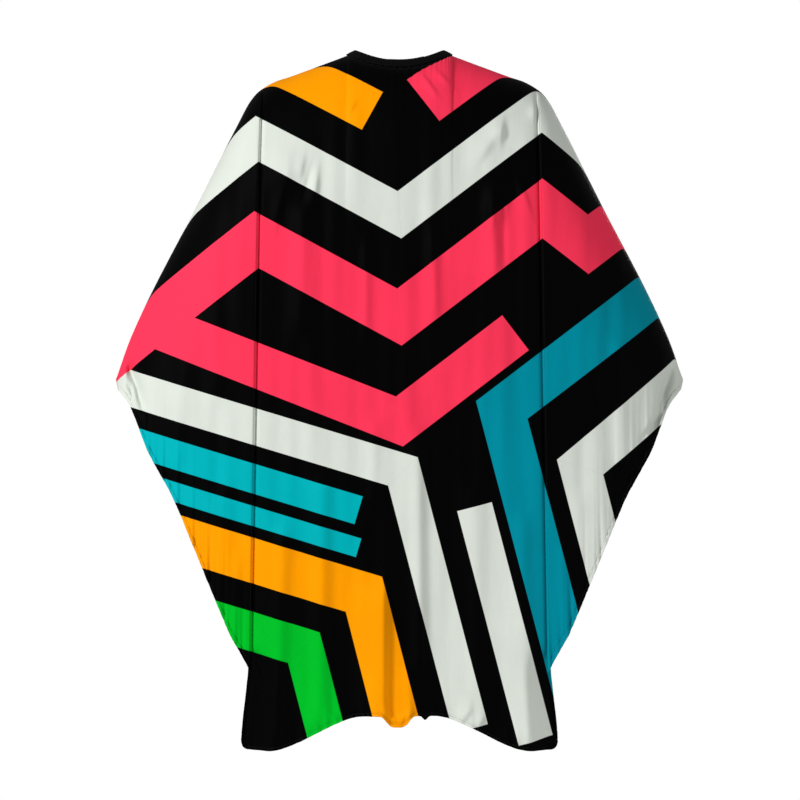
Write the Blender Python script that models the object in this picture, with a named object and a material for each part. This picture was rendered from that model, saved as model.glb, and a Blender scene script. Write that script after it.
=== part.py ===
# Barber cape: a wide cloth cape with a stand-up neckband that closes at the back with snaps.
# Metres, +Z up. The front faces -Y. The origin is the centre of the neck opening, level with the
# lower seam of the neckband at the front.
import math

import bpy
import bmesh
from mathutils import Matrix, Vector

# Cloth and neck
CLOTH = 0.0012
SEAM_GAP = 0.0007
NECK_HALF_WIDTH = 0.078
NECK_HALF_DEPTH = 0.062
NECK_SIDE_RISE = 0.0225
NECK_BACK_RISE = 0.002

# Stand-up neckband
BAND_TOP_HALF_WIDTH = 0.066
BAND_TOP_HALF_DEPTH = 0.050
BAND_FRONT_TOP = 0.0115
BAND_SIDE_TOP = 0.030
BAND_BACK_TOP = 0.021
BAND_LIFT = 0.0012
BAND_PLY = 0.0007
BAND_PLY_SPACING = 0.0024
INTERLINING = 0.0008
BAND_START = math.radians(-165)
BAND_END = math.radians(190)
PLY_SHARE = 0.4
PLY_HEIGHT = 0.94
FOLD_BULGE = 0.06
INTERLINING_END_INSET = 0.02
INTERLINING_LOW = 0.04
INTERLINING_HIGH = 0.90

# Outline seen from the front, right half: shoulder and arm fold, then the side hem
ARM_FOLD = (
    (0.078, 0.0225), (0.125, 0.005), (0.166, -0.010), (0.1845, -0.016), (0.2095, -0.0305),
    (0.222, -0.0445), (0.244, -0.085), (0.299, -0.194), (0.401, -0.397), (0.4245, -0.462),
)
SIDE_HEM = (
    (0.2245, -0.893), (0.2575, -0.817), (0.302, -0.7105), (0.3345, -0.635),
    (0.371, -0.5695), (0.401, -0.4995), (0.4195, -0.4775),
)
SHOULDER_SEAM_END = 0.2095
SIDE_CORNER = 0.4245

# Seams between the centre and side panels
SEAM_TOP_X = 0.2085
SEAM_TOP_Z = -0.05
SEAM_LEAN = 0.0165
SKIRT_FLARE = 0.009
FLARE_START = -0.87
FLARE_RUN = 0.13
SKIRT_TOP = -0.893

# Fullness front to back
FRONT_DEPTH = 0.140
BACK_DEPTH = 0.118
GIRTH_HALF_WIDTH = 0.431
GIRTH_POWER = 3.2
FRONT_SETTLE = 0.100
BACK_SETTLE = 0.080

# Hems, and how far the front panel's lower corners turn back
FRONT_HEM_CENTRE = -0.9565
FRONT_HEM_CORNER_DROP = 0.0515
HEM_LEVEL_HALF_WIDTH = 0.047
HEM_SLOPE_RUN = 0.138
CORNER_CURL = 0.028
CURL_COLUMN = 0.8
CURL_START = -0.853
CURL_RUN = 0.05
BACK_HEM = -0.505
BACK_HEM_SIDE_RISE = 0.029

# Back closure
BACK_OVERLAP = 0.025
UNDERLAP_STEP = 0.0035
UNDERLAP_COLUMN = 0.34
UNDERLAP_FADE = 0.2
UNDERLAP_DROP = 0.03
SNAP_COUNT = 6
SNAP_START = 0.006
SNAP_PITCH = 0.0125
CAUGHT_SNAPS = (1, 2)
TAB_START = -0.029
TAB_END = 0.044
TAB_HALF_HEIGHT = 0.0085
TAB_ROOT_OFFSET = 0.0027
TAB_SPAN_OFFSET = 0.0054
TAB_CLOTH = 0.0014
TAB_RISE_RUN = 0.022
TAB_TIP = 0.010
TAB_TIP_NARROWING = 0.35

# Snap pieces: (radius, height) along the outside of each turned shape
STUD = (
    (0, 0), (0.0045, 0), (0.0045, 0.0006), (0.0020, 0.0006), (0.0020, 0.0015), (0.0015, 0.0018), (0, 0.0018),
)
STUD_BACK = ((0, -0.0006), (0.0042, -0.0006), (0.0042, 0), (0, 0))
SOCKET = ((0.0029, 0), (0.0045, 0), (0.0045, 0.0012), (0.0029, 0.0012), (0.0029, 0))
CAP = ((0, 0), (0.0050, 0), (0.0048, 0.0007), (0.0034, 0.0012), (0, 0.0014))
SOCKET_HEIGHT = 0.0012
SNAP_SEGMENTS = 14
FACE_GAP = 0.0003
CURVE_ROOM = 0.0005

# Care label
LABEL_ANGLE = math.radians(-146)
LABEL_WIDTH = 0.028
LABEL_DROP = 0.042
LABEL_THICKNESS = 0.0006
LABEL_INSET = 0.0042
LABEL_CLEARANCE = 0.0012

# Grids: cells across and down each sheet, and how they are spaced
FRONT_GRID = (22, 16)
BACK_GRID = (12, 10)
SIDE_GRID = (9, 16)
BAND_GRID = (36, 8)
TAB_GRID = (14, 2)
NECK_COLUMNS = 0.46
CENTRE_ROW_SPACING = 1.6
SIDE_ROW_SPACING = 1.8
SIDE_COLUMN_SPACING = 0.85
SEAM_COLUMNS = 0.12
SHARP_ANGLE = math.radians(35)
SAME_POINT = 1e-6


def clear_scene():
    for obj in list(bpy.data.objects):
        bpy.data.objects.remove(obj, do_unlink=True)


def material(name, colour, roughness, metallic=0.0):
    made = bpy.data.materials.new(name)
    made.use_nodes = True
    shader = made.node_tree.nodes["Principled BSDF"]
    shader.inputs["Base Color"].default_value = (*colour, 1.0)
    shader.inputs["Roughness"].default_value = roughness
    shader.inputs["Metallic"].default_value = metallic
    made.diffuse_color = (*colour, 1.0)
    return made


def add_object(name, mesh_builder, made_of):
    mesh = bpy.data.meshes.new(name)
    mesh_builder.to_mesh(mesh)
    mesh_builder.free()
    mesh.shade_smooth()
    mesh.set_sharp_from_angle(angle=SHARP_ANGLE)
    mesh.materials.append(made_of)
    obj = bpy.data.objects.new(name, mesh)
    bpy.context.scene.collection.objects.link(obj)
    return obj


def blend(a, b, t):
    return a + (b - a) * t


def ease(t):
    t = min(max(t, 0.0), 1.0)
    return t * t * (3 - 2 * t)


def along_outline(points, x):
    """Height of the outline at x, on a smooth curve that never overshoots its points."""
    xs = [p[0] for p in points]
    zs = [p[1] for p in points]
    runs = [xs[i + 1] - xs[i] for i in range(len(xs) - 1)]
    slopes = [(zs[i + 1] - zs[i]) / runs[i] for i in range(len(runs))]
    tangents = [slopes[0]]
    for i in range(1, len(slopes)):
        before, after = slopes[i - 1], slopes[i]
        tangents.append(2 * before * after / (before + after) if before * after > 0 else 0.0)
    tangents.append(slopes[-1])
    x = min(max(x, xs[0]), xs[-1])
    i = max(k for k in range(len(runs)) if xs[k] <= x)
    t = (x - xs[i]) / runs[i]
    return (
        (1 + 2 * t) * (1 - t) ** 2 * zs[i]
        + t * (1 - t) ** 2 * runs[i] * tangents[i]
        + t * t * (3 - 2 * t) * zs[i + 1]
        + t * t * (t - 1) * runs[i] * tangents[i + 1]
    )


def girth(x):
    """Share of the full depth that the cloth hangs at, x out from the middle."""
    return max(0.0, 1 - (abs(x) / GIRTH_HALF_WIDTH) ** GIRTH_POWER) ** (1 / GIRTH_POWER)


def top_height(x, side):
    """Height where the cloth starts: the neck seam, then the shoulder and arm fold."""
    if abs(x) < NECK_HALF_WIDTH:
        across = (x / NECK_HALF_WIDTH) ** 2
        back_rise = NECK_BACK_RISE * (1 - across) if side > 0 else 0.0
        return NECK_SIDE_RISE * across + back_rise
    return along_outline(ARM_FOLD, abs(x))


def top_depth(x):
    if abs(x) < NECK_HALF_WIDTH:
        return NECK_HALF_DEPTH * math.sqrt(1 - (x / NECK_HALF_WIDTH) ** 2)
    return 0.0


def cloth_y(x, z, side):
    """Depth of the cloth at (x, z); side is -1 for the front and +1 for the back."""
    depth, settle = (FRONT_DEPTH, FRONT_SETTLE) if side < 0 else (BACK_DEPTH, BACK_SETTLE)
    drop = max(0.0, top_height(x, side) - z)
    start = top_depth(x)
    hang = max(depth * girth(x), start)
    return side * (start + (hang - start) * math.sqrt(1 - math.exp(-drop / settle)))


def panel_seam_x(z):
    """Half width of the centre panels, from the shoulder point down to the front's lower corners."""
    flare = SKIRT_FLARE * ease((FLARE_START - z) / FLARE_RUN)
    return SEAM_TOP_X + SEAM_LEAN * max(0.0, SEAM_TOP_Z - z) + flare


def top_x(u):
    """Spacing of the centre panels' columns along the neck seam and the shoulder."""
    if abs(u) < NECK_COLUMNS:
        return NECK_HALF_WIDTH * math.sin(u / NECK_COLUMNS * math.pi / 2)
    edge = SEAM_TOP_X - SEAM_GAP
    return math.copysign(blend(NECK_HALF_WIDTH, edge, (abs(u) - NECK_COLUMNS) / (1 - NECK_COLUMNS)), u)


def front_hem(x):
    slope = ease((abs(x) - HEM_LEVEL_HALF_WIDTH) / HEM_SLOPE_RUN)
    return FRONT_HEM_CENTRE - FRONT_HEM_CORNER_DROP * slope


def back_hem(x):
    return BACK_HEM + BACK_HEM_SIDE_RISE * (abs(x) / SIDE_CORNER) ** 3


def solid_sheet(name, grid, place, made_of, thickness=CLOTH):
    """A grid laid over a formula and given a thickness."""
    bm = bmesh.new()
    bmesh.ops.create_grid(bm, x_segments=grid[0], y_segments=grid[1], size=0.5)
    for vert in bm.verts:
        vert.co = place(vert.co.x + 0.5, vert.co.y + 0.5)
    obj = add_object(name, bm, made_of)
    wall = obj.modifiers.new("Thickness", "SOLIDIFY")
    wall.thickness = thickness
    wall.offset = 0.0
    return obj


def centre_point(u, v, side, step_in=0.0):
    """A point of a centre panel: u across from -1 to 1, v down from the neck to the hem."""
    start_x = top_x(u)
    start_z = top_height(start_x, side)
    hem_z = front_hem(u * SEAM_TOP_X) if side < 0 else back_hem(u * SEAM_TOP_X)
    z = blend(start_z, hem_z, v ** CENTRE_ROW_SPACING)
    x = blend(start_x, u * (panel_seam_x(z) - SEAM_GAP), ease(v * CENTRE_ROW_SPACING))
    y = cloth_y(x, z, side) + side * SEAM_GAP
    if side < 0:
        corner = ease((abs(u) - CURL_COLUMN) / (1 - CURL_COLUMN))
        y += CORNER_CURL * corner * ease((CURL_START - z) / CURL_RUN)
    drop = start_z - z
    return Vector((x, y - step_in, z - step_in * math.exp(-drop / UNDERLAP_DROP)))


def make_front_panel(cloth):
    def place(across, down):
        return centre_point(blend(-1, 1, across), down, -1)
    solid_sheet("front_panel", FRONT_GRID, place, cloth)


def make_back_panel(name, sign, cloth):
    """A back half; the left one laps over the right one at the middle."""
    lap = NECK_COLUMNS * math.asin(BACK_OVERLAP / NECK_HALF_WIDTH) / (math.pi / 2)

    def place(across, down):
        u = sign * blend(-lap, 1, across)
        under = UNDERLAP_STEP * ease((UNDERLAP_COLUMN - abs(u)) / UNDERLAP_FADE) if sign > 0 else 0.0
        return centre_point(u, down, 1, under)
    solid_sheet(name, BACK_GRID, place, cloth)


def make_side_panel(name, sign, cloth):
    """Kite-shaped: from the front seam over the arm fold to the back seam."""
    def place(out, over):
        out = out ** SIDE_COLUMN_SPACING
        side = -1 if over < 0.5 else 1
        fall = abs(2 * over - 1) ** SIDE_ROW_SPACING
        fold_x = blend(SHOULDER_SEAM_END, SIDE_CORNER, out)
        inner_hem_x = SIDE_HEM[0][0] if side < 0 else panel_seam_x(BACK_HEM)
        hem_x = blend(inner_hem_x, SIDE_HEM[-1][0], out)
        hem_z = along_outline(SIDE_HEM, hem_x) if side < 0 else back_hem(hem_x)
        z = blend(top_height(fold_x, side), hem_z, fall)
        x = blend(fold_x, hem_x, fall)
        straight_edge = blend(SHOULDER_SEAM_END, inner_hem_x, fall)
        x += (panel_seam_x(z) + SEAM_GAP - straight_edge) * max(0.0, 1 - out / SEAM_COLUMNS)
        return Vector((sign * x, cloth_y(x, z, side), z))
    solid_sheet(name, SIDE_GRID, place, cloth)


def band_point(angle, rise):
    """Middle of the neckband's thickness: angle from the front towards +X, rise from 0 to 1."""
    back = max(0.0, -math.cos(angle)) ** 2
    sides = math.sin(angle) ** 2
    low = NECK_SIDE_RISE * sides + NECK_BACK_RISE * back + BAND_LIFT
    high = blend(BAND_FRONT_TOP, BAND_SIDE_TOP, sides) + (BAND_BACK_TOP - BAND_FRONT_TOP) * back
    return Vector((
        blend(NECK_HALF_WIDTH, BAND_TOP_HALF_WIDTH, rise) * math.sin(angle),
        -blend(NECK_HALF_DEPTH, BAND_TOP_HALF_DEPTH, rise) * math.cos(angle),
        blend(low, high, rise),
    ))


def band_axes(angle, rise=0.5):
    """(outward, along, up) unit vectors of the neckband's surface."""
    step = 0.001
    along = (band_point(angle + step, rise) - band_point(angle - step, rise)).normalized()
    up = (band_point(angle, 1.0) - band_point(angle, 0.0)).normalized()
    outward = along.cross(up).normalized()
    return outward, along, outward.cross(along).normalized()


def angle_at(x):
    """Angle round the neck of the point of the back half that lies x from the middle."""
    return math.pi - math.asin(x / blend(NECK_HALF_WIDTH, BAND_TOP_HALF_WIDTH, 0.5))


def make_neckband(band_cloth, stiffener):
    half = BAND_PLY_SPACING / 2

    def folded(round_, over):
        angle = blend(BAND_START, BAND_END, round_)
        outward = band_axes(angle)[0]
        if over < PLY_SHARE:
            rise, offset = over / PLY_SHARE, half
        elif over > 1 - PLY_SHARE:
            rise, offset = (1 - over) / PLY_SHARE, -half
        else:
            turn = (over - PLY_SHARE) / (1 - 2 * PLY_SHARE) * math.pi
            rise, offset = 1.0 + FOLD_BULGE * math.sin(turn), half * math.cos(turn)
        return band_point(angle, rise * PLY_HEIGHT) + outward * offset
    solid_sheet("neckband", BAND_GRID, folded, band_cloth, BAND_PLY)

    def strip(round_, rise):
        angle = blend(BAND_START + INTERLINING_END_INSET, BAND_END - INTERLINING_END_INSET, round_)
        return band_point(angle, blend(INTERLINING_LOW, INTERLINING_HIGH, rise))
    solid_sheet("neckband_interlining", (BAND_GRID[0], 1), strip, stiffener, INTERLINING)


def spun(name, profile, angle, offset, made_of):
    """A round snap piece turned about its own axis and set on the neckband at this angle."""
    bm = bmesh.new()
    ends = [bm.verts.new((r, 0, h)) for r, h in profile]
    edges = [bm.edges.new(pair) for pair in zip(ends, ends[1:])]
    bmesh.ops.spin(
        bm, geom=ends + edges, cent=(0, 0, 0), axis=(0, 0, 1), angle=math.tau,
        steps=SNAP_SEGMENTS, use_merge=True,
    )
    bmesh.ops.remove_doubles(bm, verts=bm.verts, dist=SAME_POINT)
    bmesh.ops.dissolve_degenerate(bm, edges=bm.edges, dist=SAME_POINT / 10)
    bmesh.ops.recalc_face_normals(bm, faces=bm.faces)
    obj = add_object(name, bm, made_of)
    outward, along, up = band_axes(angle)
    turn = Matrix((along, up, outward)).transposed()
    obj.matrix_world = Matrix.Translation(band_point(angle, 0.5) + outward * offset) @ turn.to_4x4()


def snap_angle(index):
    return angle_at(SNAP_START + SNAP_PITCH * index)


def make_snaps(metal):
    """Studs with their backing discs on the neckband; sockets with their caps on the tab."""
    face = BAND_PLY_SPACING / 2 + BAND_PLY / 2 + FACE_GAP
    for i in range(SNAP_COUNT):
        spun(f"snap_stud_{i + 1}", STUD, snap_angle(i), face, metal)
        spun(f"snap_stud_back_{i + 1}", STUD_BACK, snap_angle(i), -face - CURVE_ROOM, metal)
    inner = TAB_SPAN_OFFSET - TAB_CLOTH / 2 - FACE_GAP - SOCKET_HEIGHT
    outer = TAB_SPAN_OFFSET + TAB_CLOTH / 2 + FACE_GAP
    for count, i in enumerate(CAUGHT_SNAPS):
        spun(f"snap_socket_{count + 1}", SOCKET, snap_angle(i), inner, metal)
        spun(f"snap_cap_{count + 1}", CAP, snap_angle(i), outer, metal)


def make_closure_tab(band_cloth):
    """A strip from the neckband's overlap end across the gap, standing clear of the studs."""
    def place(along_tab, height):
        x = blend(TAB_START, TAB_END, along_tab)
        angle = angle_at(x)
        outward, _, up = band_axes(angle)
        offset = blend(TAB_ROOT_OFFSET, TAB_SPAN_OFFSET, ease((x - TAB_START) / TAB_RISE_RUN))
        tip = ease((x - TAB_END + TAB_TIP) / TAB_TIP)
        half = TAB_HALF_HEIGHT * (1 - TAB_TIP_NARROWING * tip)
        return band_point(angle, 0.5) + outward * offset + up * blend(-half, half, height)
    solid_sheet("closure_tab", TAB_GRID, place, band_cloth, TAB_CLOTH)


def make_care_label(label_cloth):
    outward, along, _ = band_axes(LABEL_ANGLE)
    top = band_point(LABEL_ANGLE, 0.0) - outward * LABEL_INSET - Vector((0, 0, LABEL_CLEARANCE))
    flat = Vector((along.x, along.y, 0)).normalized()
    bm = bmesh.new()
    bmesh.ops.create_cube(bm, size=1.0)
    bmesh.ops.scale(bm, vec=(LABEL_WIDTH, LABEL_THICKNESS, LABEL_DROP), verts=bm.verts)
    bmesh.ops.translate(bm, vec=(0, 0, -LABEL_DROP / 2), verts=bm.verts)
    obj = add_object("care_label", bm, label_cloth)
    across = Vector((0, 0, 1)).cross(flat)
    turn = Matrix((flat, across, Vector((0, 0, 1)))).transposed()
    obj.matrix_world = Matrix.Translation(top) @ turn.to_4x4()


def main():
    clear_scene()
    printed = material("printed_polyester", (0.62, 0.68, 0.60), 0.55)
    band_cloth = material("neckband_cloth", (0.012, 0.012, 0.013), 0.6)
    stiffener = material("interlining", (0.85, 0.85, 0.83), 0.9)
    metal = material("snap_metal", (0.72, 0.72, 0.74), 0.3, 1.0)
    label_cloth = material("label_satin", (0.88, 0.88, 0.86), 0.4)
    make_front_panel(printed)
    make_back_panel("back_panel_left", -1, printed)
    make_back_panel("back_panel_right", 1, printed)
    make_side_panel("side_panel_left", -1, printed)
    make_side_panel("side_panel_right", 1, printed)
    make_neckband(band_cloth, stiffener)
    make_closure_tab(band_cloth)
    make_snaps(metal)
    make_care_label(label_cloth)


main()
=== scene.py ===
# Barber cape: cloth, neckband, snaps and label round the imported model. Metres, +Z up, front faces -Y.
import math

import bpy
import bmesh
import numpy as np
from mathutils import Matrix, Vector


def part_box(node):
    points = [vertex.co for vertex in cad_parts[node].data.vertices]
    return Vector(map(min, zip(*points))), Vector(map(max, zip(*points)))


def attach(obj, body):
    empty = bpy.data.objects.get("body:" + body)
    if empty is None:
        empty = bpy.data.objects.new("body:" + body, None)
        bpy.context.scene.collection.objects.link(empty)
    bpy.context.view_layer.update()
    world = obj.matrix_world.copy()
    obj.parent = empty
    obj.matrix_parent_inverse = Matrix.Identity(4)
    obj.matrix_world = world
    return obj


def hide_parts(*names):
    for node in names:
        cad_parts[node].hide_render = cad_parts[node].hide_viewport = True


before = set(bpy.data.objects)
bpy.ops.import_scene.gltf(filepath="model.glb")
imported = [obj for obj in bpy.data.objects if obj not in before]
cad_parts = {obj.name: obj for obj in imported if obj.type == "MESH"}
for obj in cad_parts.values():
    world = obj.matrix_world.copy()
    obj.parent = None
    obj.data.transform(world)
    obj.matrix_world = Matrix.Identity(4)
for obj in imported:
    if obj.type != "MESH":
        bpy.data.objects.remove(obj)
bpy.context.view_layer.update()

scene = bpy.context.scene

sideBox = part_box("side_panel_right")

cut = {
    "neckHalfWidth": 0.078,
    "neckHalfDepth": 0.062,
    "neckSideRise": 0.0225,
    "neckBackRise": 0.002,
    "armFold": ((0.078, 0.0225), (0.125, 0.005), (0.166, -0.010), (0.1845, -0.016), (0.2095, -0.0305),
                (0.222, -0.0445), (0.244, -0.085), (0.299, -0.194), (0.401, -0.397), (0.4245, -0.462)),
    "sideHem": ((0.2245, -0.893), (0.2575, -0.817), (0.302, -0.7105), (0.3345, -0.635),
                (0.371, -0.5695), (0.401, -0.4995), (0.4195, -0.4775)),
    "shoulderEnd": 0.2095,
    "sideCorner": sideBox[1].x - 0.0006,
    "seamTop": 0.2085,
    "seamTopZ": -0.05,
    "seamLean": 0.0165,
    "skirtFlare": 0.009,
    "flareStart": -0.87,
    "flareRun": 0.13,
    "skirtTop": -0.893,
    "frontDepth": 0.140,
    "backDepth": 0.118,
    "girthHalfWidth": 0.431,
    "girthPower": 3.2,
    "frontSettle": 0.100,
    "backSettle": 0.080,
    "frontHem": -0.9565,
    "frontHemDrop": 0.0515,
    "hemLevel": 0.047,
    "hemRun": 0.138,
    "cornerRound": 0.011,
    "cornerCurl": 0.028,
    "backHem": -0.505,
    "backHemRise": 0.029,
    "backLap": 0.025,
    "underStep": 0.0035,
}


def ease(t):
    t = np.clip(t, 0.0, 1.0)
    return t * t * (3 - 2 * t)


def mix(a, b, t):
    return a + (b - a) * t


# height of a smooth outline through points
def alongOutline(points, x):
    xs = np.array([p[0] for p in points])
    zs = np.array([p[1] for p in points])
    runs = np.diff(xs)
    slopes = np.diff(zs) / runs
    tangents = [slopes[0]]
    for before, after in zip(slopes, slopes[1:]):
        tangents.append(2 * before * after / (before + after) if before * after > 0 else 0.0)
    tangents = np.array(tangents + [slopes[-1]])
    x = np.clip(x, xs[0], xs[-1])
    i = np.clip(np.searchsorted(xs, x, side="right") - 1, 0, len(runs) - 1)
    t = (x - xs[i]) / runs[i]
    return ((1 + 2 * t) * (1 - t) ** 2 * zs[i] + t * (1 - t) ** 2 * runs[i] * tangents[i]
            + t * t * (3 - 2 * t) * zs[i + 1] + t * t * (t - 1) * runs[i] * tangents[i + 1])


def girth(x):
    c = cut
    return np.maximum(0.0, 1 - (np.abs(x) / c["girthHalfWidth"]) ** c["girthPower"]) ** (1 / c["girthPower"])


def topHeight(x, side):
    c = cut
    across = np.minimum(1.0, (x / c["neckHalfWidth"]) ** 2)
    back = c["neckBackRise"] * (1 - across) if side > 0 else 0.0
    neck = c["neckSideRise"] * across + back
    return np.where(np.abs(x) < c["neckHalfWidth"], neck, alongOutline(c["armFold"], np.abs(x)))


def topDepth(x):
    c = cut
    return c["neckHalfDepth"] * np.sqrt(np.maximum(0.0, 1 - (x / c["neckHalfWidth"]) ** 2))


# the cloth's depth with no folds in it
def plainY(x, z, side):
    c = cut
    depth, settle = (c["frontDepth"], c["frontSettle"]) if side < 0 else (c["backDepth"], c["backSettle"])
    drop = np.maximum(0.0, topHeight(x, side) - z)
    start = topDepth(x)
    hang = np.maximum(depth * girth(x), start)
    return side * (start + (hang - start) * np.sqrt(1 - np.exp(-drop / settle)))


def seamX(z):
    c = cut
    flare = c["skirtFlare"] * ease((c["flareStart"] - z) / c["flareRun"])
    return c["seamTop"] + c["seamLean"] * np.maximum(0.0, c["seamTopZ"] - z) + flare


neckShare = 0.42


def topX(u):
    c = cut
    neck = c["neckHalfWidth"] * np.sin(np.clip(u / neckShare, -1, 1) * math.pi / 2)
    out = np.sign(u) * mix(c["neckHalfWidth"], c["seamTop"], (np.abs(u) - neckShare) / (1 - neckShare))
    return np.where(np.abs(u) < neckShare, neck, out)


hemLobes = (  # middle, half width, squareness and drop of the folds that hang below the front hem
    (-0.0025, 0.0172, 4, 0.0165), (0.036, 0.004, 2, 0.006),
)


def frontHemZ(x):
    c = cut
    lobe = sum(drop * np.exp(-((x - centre) / half) ** power) for centre, half, power, drop in hemLobes)
    return c["frontHem"] - c["frontHemDrop"] * ease((np.abs(x) - c["hemLevel"]) / c["hemRun"]) - lobe


def backHemZ(x):
    c = cut
    return c["backHem"] + c["backHemRise"] * (np.abs(x) / c["sideCorner"]) ** 3


# a smooth, irregular wave of about unit height over the plane (a, b)
def ripple(a, b, seed, waves=5):
    total = 0.0
    for k in range(waves):
        turn = math.sin(seed * 12.9898 + k * 78.233) * 43758.5453 % 1.0
        lean = (math.sin(seed * 3.17 + k * 5.31) * 0.5) * 0.6
        rate = 0.7 + 0.62 * k
        total = total + np.sin(rate * (a + lean * b) * 2 * math.pi + turn * 2 * math.pi) / (1 + 0.55 * k)
    return total / 1.9


# one soft fold running down the cloth; skew widens its left side
def ridge(x, z, centre, lean, width, height, top, bottom, skew=1.0, fade=0.05):
    across = x - centre - lean * (z - top)
    reach = ease((top - z) / fade) * ease((z - bottom) / fade)
    return height * np.exp(-(across / np.where(across > 0, width, width * skew)) ** 2) * reach


# folds down the front: middle, lean, half width, height, top and bottom
frontFolds = (
    (-0.142, 0.02, 0.012, 0.0052, -0.19, -0.42), (-0.049, 0.01, 0.008, 0.0040, -0.24, -0.42),
    (0.049, -0.02, 0.009, 0.0046, -0.22, -0.40), (0.135, -0.03, 0.009, 0.0050, -0.17, -0.34),
    (0.150, -0.03, 0.006, -0.0030, -0.17, -0.32), (-0.037, 0.01, 0.011, 0.0046, -0.50, -0.68),
    (0.026, -0.015, 0.011, 0.0062, -0.52, -0.92), (-0.110, 0.02, 0.016, 0.0060, -0.58, -0.99),
    (0.105, -0.03, 0.017, 0.0062, -0.60, -1.00), (-0.172, 0.02, 0.013, 0.0064, -0.66, -1.03),
    (0.180, -0.02, 0.013, 0.0064, -0.64, -1.03), (-0.0245, 0.0, 0.0080, 0.0145, -0.74, -1.20, 4.0),
    (0.012, 0.0, 0.010, 0.0040, -0.86, -1.20), (0.088, -0.22, 0.012, 0.0040, -0.90, -1.10, 2.5),
    (-0.268, 0.00, 0.012, -0.0044, -0.47, -0.66), (0.266, 0.00, 0.012, -0.0044, -0.50, -0.66),
    (-0.315, 0.05, 0.012, 0.0040, -0.40, -0.62), (0.318, -0.05, 0.012, 0.0040, -0.38, -0.62),
    (-0.236, 0.03, 0.008, 0.0030, -0.70, -0.86), (0.238, -0.03, 0.008, 0.0030, -0.68, -0.86),
)
# short sharp wrinkles of the chest, arms and corners: middle, direction, half length, half width, height
creases = (
    (-0.1665, -0.158, 1.50, 0.034, 0.0135, 0.0105), (-0.1445, -0.152, 1.39, 0.018, 0.0048, 0.0046),
    (-0.1235, -0.178, 1.48, 0.026, 0.0050, 0.0066), (-0.134, -0.172, 1.30, 0.026, 0.0040, -0.0036),
    (0.1490, -0.098, 1.45, 0.018, 0.0060, 0.0082), (0.1270, -0.124, 0.98, 0.021, 0.0060, 0.0042),
    (0.1400, -0.205, 1.40, 0.034, 0.0060, 0.0060), (0.1560, -0.200, 1.45, 0.030, 0.0060, 0.0040),
    (0.2000, -0.066, 1.50, 0.013, 0.0036, 0.0062), (-0.2030, -0.058, -1.40, 0.008, 0.0032, 0.0030),
    (-0.0697, -0.062, 1.01, 0.010, 0.0030, 0.0030), (-0.1174, -0.045, 0.40, 0.022, 0.0040, 0.0028),
    (0.0440, -0.028, -0.94, 0.018, 0.0026, 0.0046), (0.0640, -0.016, -0.80, 0.014, 0.0026, 0.0030),
    (-0.176, -0.210, 1.35, 0.030, 0.0042, 0.0034), (0.182, -0.190, -1.25, 0.034, 0.0042, 0.0034),
    (-0.3905, -0.474, -1.25, 0.030, 0.0042, -0.0190), (-0.4030, -0.450, -1.34, 0.018, 0.0036, -0.0140),
    (-0.3985, -0.480, -1.15, 0.014, 0.0030, -0.0080), (0.3890, -0.484, 1.33, 0.038, 0.0042, -0.0170),
    (0.4040, -0.450, 1.27, 0.026, 0.0036, -0.0120), (0.3740, -0.530, 0.95, 0.018, 0.0038, -0.0090),
    (-0.0160, -0.953, -1.20, 0.011, 0.0028, 0.0046), (-0.0070, -0.962, -1.30, 0.007, 0.0026, 0.0034),
    (0.0050, -0.960, 1.30, 0.008, 0.0026, 0.0036), (0.0140, -0.955, 1.10, 0.008, 0.0026, 0.0030),
    (0.0960, -0.957, 1.05, 0.014, 0.0042, 0.0046), (0.1180, -0.966, 1.05, 0.013, 0.0042, 0.0042),
    (-0.1260, -0.966, -1.05, 0.013, 0.0042, 0.0030), (-0.0980, -0.958, -1.05, 0.013, 0.0042, 0.0028),
)


# steep on one side and gentle on the other, as cloth creases are
def crease(x, z, cx, cz, angle, half, width, height):
    dx, dz = math.cos(angle), math.sin(angle)
    along = (x - cx) * dx + (z - cz) * dz
    across = ((x - cx) * dz - (z - cz) * dx) * math.copysign(1, dz * height)
    spread = np.where(across > 0, width, width * 2.4)
    return height * np.exp(-(along / half) ** 2) * np.exp(-(across / spread) ** 2)


# soft waves: height, width, length, seed, and the fall at which they start and reach full height
frontWaves = ((0.0055, 0.30, 2.4, 3.0, 0.35, 0.65), (0.0017, 0.09, 0.5, 7.0, 0.0, 0.12))
backWaves = ((0.0085, 0.26, 1.6, 11.0, 0.05, 0.45), (0.0015, 0.08, 0.5, 5.0, 0.0, 0.10))


def softWave(x, z, height, width, length, seed, start, run):
    return height * ease((-z - start) / run) * ripple(x / width, z / length, seed)


# how far the front stands out of its plain shape
def frontRelief(x, z):
    out = sum(ridge(x, z, *fold) for fold in frontFolds)
    out = out + sum(crease(x, z, *c) for c in creases)
    return out + sum(softWave(x, z, *wave) for wave in frontWaves)


def backRelief(x, z):
    return sum(softWave(x, z, *wave) for wave in backWaves)


gather = {
    "height": 0.0015,
    "coarse": 44,
    "fine": 71,
    "fineShare": 0.6,
    "reach": 0.022,
    "start": 0.004,
    "span": 1.15,  # of the neck's half width
    "spanFade": 0.02,
}


# fine pleats just under the neckband
def gathers(x, z, side):
    c, g = cut, gather
    angle = np.arcsin(np.clip(x / c["neckHalfWidth"], -1, 1))
    drop = np.maximum(0.0, topHeight(x, side) - z)
    out = np.maximum(0.0, np.abs(plainY(x, z, side)) - topDepth(x))
    reach = np.hypot(drop, out)
    inside = ease((c["neckHalfWidth"] * g["span"] - np.abs(x)) / g["spanFade"])
    wave = np.sin(g["coarse"] * angle) + g["fineShare"] * np.sin(g["fine"] * angle + 1.3)
    return g["height"] * wave * np.exp(-reach / g["reach"]) * inside * ease(reach / g["start"])


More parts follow.
